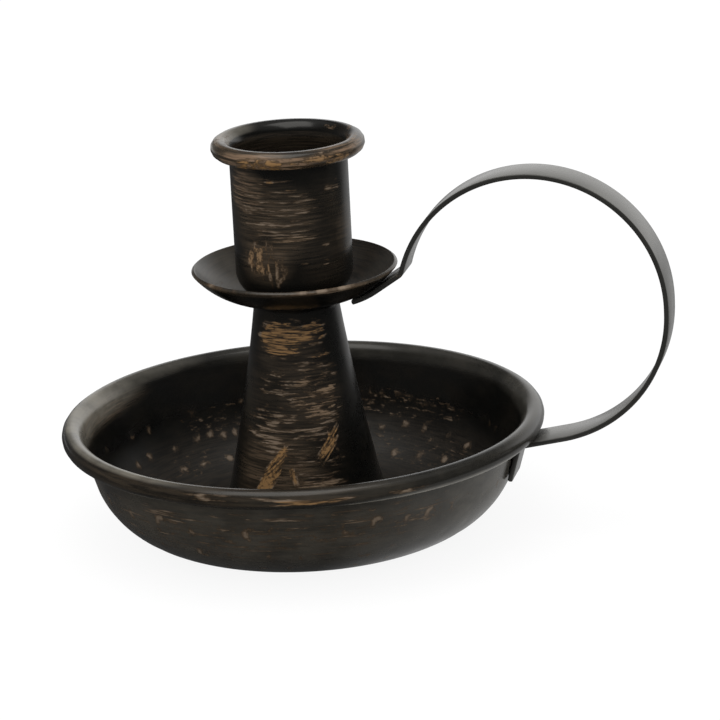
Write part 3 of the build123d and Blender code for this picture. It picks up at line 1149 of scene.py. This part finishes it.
def base_nut():
    turn = np.radians(np.arange(SMALL_SIDES) * 360 / SMALL_SIDES)
    side = NUT_ACROSS_FLATS / 2 / np.cos((turn % (math.pi / 3)) - math.pi / 6)
    face = np.full(SMALL_SIDES, NUT_ACROSS_FLATS / 2 - NUT_FACE_INSET)
    bore = np.full(SMALL_SIDES, NUT_BORE_R)
    drop = (side - face) * tand(NUT_BEVEL_SLOPE)
    low, high = NUT_Z, NUT_Z + NUT_H
    bevel = NUT_BORE_BEVEL
    rings = [(bore, high - bevel), (bore + bevel, high), (face, high), (side, high - drop)]
    rings += [(side, low + drop), (face, low), (bore + bevel, low), (bore, low + bevel)]
    margin = NUT_THREAD_MARGIN
    for z in np.arange(low + bevel + margin, high - bevel - margin, THREAD_SPACING):
        rings.append((bore + NUT_THREAD_DEPTH * thread_wave(z, turn), z))
    verts = [ring_verts(radius, np.broadcast_to(z, radius.shape), turn) for radius, z in rings]
    faces = [corners[::-1] for corners in ring_faces(len(rings), SMALL_SIDES)]
    return new_piece("base_nut", np.concatenate(verts), faces, ZINC)


# Stage
# The floor and the sky have one look for the camera, one for soft light and one in reflections.
# The floor is in metres. A side is the angle round the axis of the middle of a bright part.

WHITE = (1, 1, 1, 1)
NO_COLOUR = (0, 0, 0, 1)
FLOOR_SIZE = 8.0
FLOOR_SEEN = (0.12, 0.12, 0.12, 1)
FLOOR_PALE = (0.40, 0.40, 0.40, 1)
FLOOR_LIFT = 0.90
FLOOR_SHEEN = (0.07, 0.48)
FLOOR_SPAN = (0.85, 0.97)
FLOOR_BRIGHT_SIDE = 71.0
FLOOR_POOL = (0.07, 0.01, 0.0)
FLOOR_POOL_SPAN = (0.045, 0.085)
FLOOR_FAR = 0.70
FLOOR_FAR_SPAN = (0.35, 0.70)
FLOOR_FAR_SIDE = 100.0
FLOOR_FAR_REACH = (0.50, 0.80)
SKY_FILL = 0.92
SKY_DARK = 0.08
SKY_SPAN = (0.64, 0.86)
SKY_BRIGHT_SIDE = 75.0
BACKDROP_TOP = (0.30, 0.70)
ABOVE_BACKDROP = 0.10
CEILING_SPAN = (0.55, 0.85)
CEILING = 0.30
LAMP_AIM = (0, 0, 0.04)
Lamp = namedtuple("Lamp", "place size power")
LAMPS = (
    Lamp((-0.1, -0.35, 1.65), 1.3, 9.0),
)


def light_paths(tree):
    """1 for rays from the camera, and 1 for rays from gloss or through glass."""
    path = tree.nodes.new("ShaderNodeLightPath")
    mirrored = maths(tree, "MAXIMUM", path.outputs["Is Glossy Ray"], path.outputs["Is Transmission Ray"])
    return path.outputs["Is Camera Ray"], mirrored


def along_angle(tree, place, angle):
    """How far a place lies in a direction across the floor."""
    side = toward(angle)
    made = node(tree, "VectorMath", {"operation": "DOT_PRODUCT"})
    put(tree, made.inputs[0], place)
    put(tree, made.inputs[1], (side[0], side[1], 0.0))
    return made.outputs["Value"]


def floor_sheen(tree, place):
    """How bright the table is in reflections: on the right, close by on the right, and far behind."""
    direction = node(tree, "VectorMath", {"operation": "NORMALIZE"}, Vector=place).outputs["Vector"]
    side = ramp(tree, along_angle(tree, direction, FLOOR_BRIGHT_SIDE), *FLOOR_SPAN, *FLOOR_SHEEN)
    near = node(tree, "VectorMath", {"operation": "DISTANCE"})
    put(tree, near.inputs[0], place)
    put(tree, near.inputs[1], FLOOR_POOL)
    pool = ramp(tree, near.outputs["Value"], *FLOOR_POOL_SPAN, FLOOR_SHEEN[1], 0.0)
    distance = node(tree, "VectorMath", {"operation": "LENGTH"}, Vector=place).outputs["Value"]
    far = ramp(tree, distance, *FLOOR_FAR_SPAN, 0.0, FLOOR_FAR)
    behind = ramp(tree, along_angle(tree, direction, FLOOR_FAR_SIDE), *FLOOR_FAR_REACH)
    return most(tree, [side, pool, maths(tree, "MULTIPLY", far, behind)])


def floor():
    """A pale table that is white to the camera, and mostly dark in reflections."""
    mesh = bpy.data.meshes.new("floor")
    half = FLOOR_SIZE / 2
    corners = [(-half, -half, 0), (half, -half, 0), (half, half, 0), (-half, half, 0)]
    mesh.from_pydata(corners, [], [(0, 1, 2, 3)])
    material, tree, shader = new_material("floor")
    tree.nodes.remove(shader)
    seen, mirrored = light_paths(tree)
    place = tree.nodes.new("ShaderNodeTexCoord").outputs["Object"]
    sheen = floor_sheen(tree, place)
    lift = maths(tree, "MULTIPLY_ADD", seen, FLOOR_LIFT, maths(tree, "MULTIPLY", mirrored, sheen))
    grey = blend_colour(tree, seen, FLOOR_PALE, FLOOR_SEEN)
    grey = blend_colour(tree, mirrored, grey, NO_COLOUR)
    diffuse = node(tree, "BsdfDiffuse", Color=grey)
    glow = node(tree, "Emission", Strength=lift)
    both = tree.nodes.new("ShaderNodeAddShader")
    tree.links.new(diffuse.outputs[0], both.inputs[0])
    tree.links.new(glow.outputs[0], both.inputs[1])
    tree.links.new(both.outputs[0], tree.nodes["Material Output"].inputs["Surface"])
    mesh.materials.append(material)
    plane = bpy.data.objects.new("floor", mesh)
    bpy.context.scene.collection.objects.link(plane)


def sky():
    """A white studio that is dark in reflections, but for the backdrop on one side and the ceiling."""
    world = bpy.data.worlds.new("studio")
    world.use_nodes = True
    tree = world.node_tree
    seen, mirrored = light_paths(tree)
    place = tree.nodes.new("ShaderNodeTexCoord").outputs["Generated"]
    height = node(tree, "SeparateXYZ", Vector=place).outputs["Z"]
    backdrop = ramp(tree, height, *BACKDROP_TOP, 1.0, ABOVE_BACKDROP)
    room = ramp(tree, along_angle(tree, place, SKY_BRIGHT_SIDE), *SKY_SPAN, SKY_DARK, 1.0)
    room = maths(tree, "MULTIPLY", room, backdrop)
    room = maths(tree, "MAXIMUM", room, ramp(tree, height, *CEILING_SPAN, 0.0, CEILING))
    strength = maths(tree, "MULTIPLY_ADD", mirrored, maths(tree, "SUBTRACT", room, SKY_FILL), SKY_FILL)
    background = tree.nodes["Background"]
    background.inputs["Color"].default_value = WHITE
    tree.links.new(maths(tree, "MAXIMUM", strength, seen), background.inputs["Strength"])
    bpy.context.scene.world = world


def lamps():
    for k, lamp in enumerate(LAMPS):
        light = bpy.data.lights.new(f"softbox_{k}", "AREA")
        light.size = lamp.size
        light.energy = lamp.power
        softbox = bpy.data.objects.new(f"softbox_{k}", light)
        softbox.location = lamp.place
        aim = Vector(LAMP_AIM) - Vector(lamp.place)
        softbox.rotation_euler = aim.to_track_quat("-Z", "Y").to_euler()
        bpy.context.scene.collection.objects.link(softbox)


def camera():
    out = toward(CAMERA_AZIMUTH - 90) * cosd(CAMERA_RISE)
    back = Vector((out[0], out[1], sind(CAMERA_RISE)))
    right = Vector((cosd(CAMERA_AZIMUTH), sind(CAMERA_AZIMUTH), 0))
    up = back.cross(right)
    aim = Vector((0, 0, CAMERA_AIM_Z)) + right * CAMERA_ASIDE + up * CAMERA_ABOVE
    place = aim + back * CAMERA_DISTANCE
    aside = right * cosd(CAMERA_ROLL) + up * sind(CAMERA_ROLL)
    above = up * cosd(CAMERA_ROLL) - right * sind(CAMERA_ROLL)
    data = bpy.data.cameras.new("camera")
    data.lens = CAMERA_LENS
    data.sensor_width = CAMERA_SENSOR
    view = bpy.data.objects.new("camera", data)
    turn = Matrix((aside, above, back)).transposed().to_4x4()
    view.matrix_world = Matrix.Translation(place * MM) @ turn
    bpy.context.scene.collection.objects.link(view)
    bpy.context.scene.camera = view


for make in (drip_pan, stem, drip_tray, candle_socket, finger_loop, tie_bolt, base_washer, base_nut):
    make()
for make in (floor, sky, lamps, camera):
    make()
bpy.context.scene.view_settings.view_transform = "Standard"
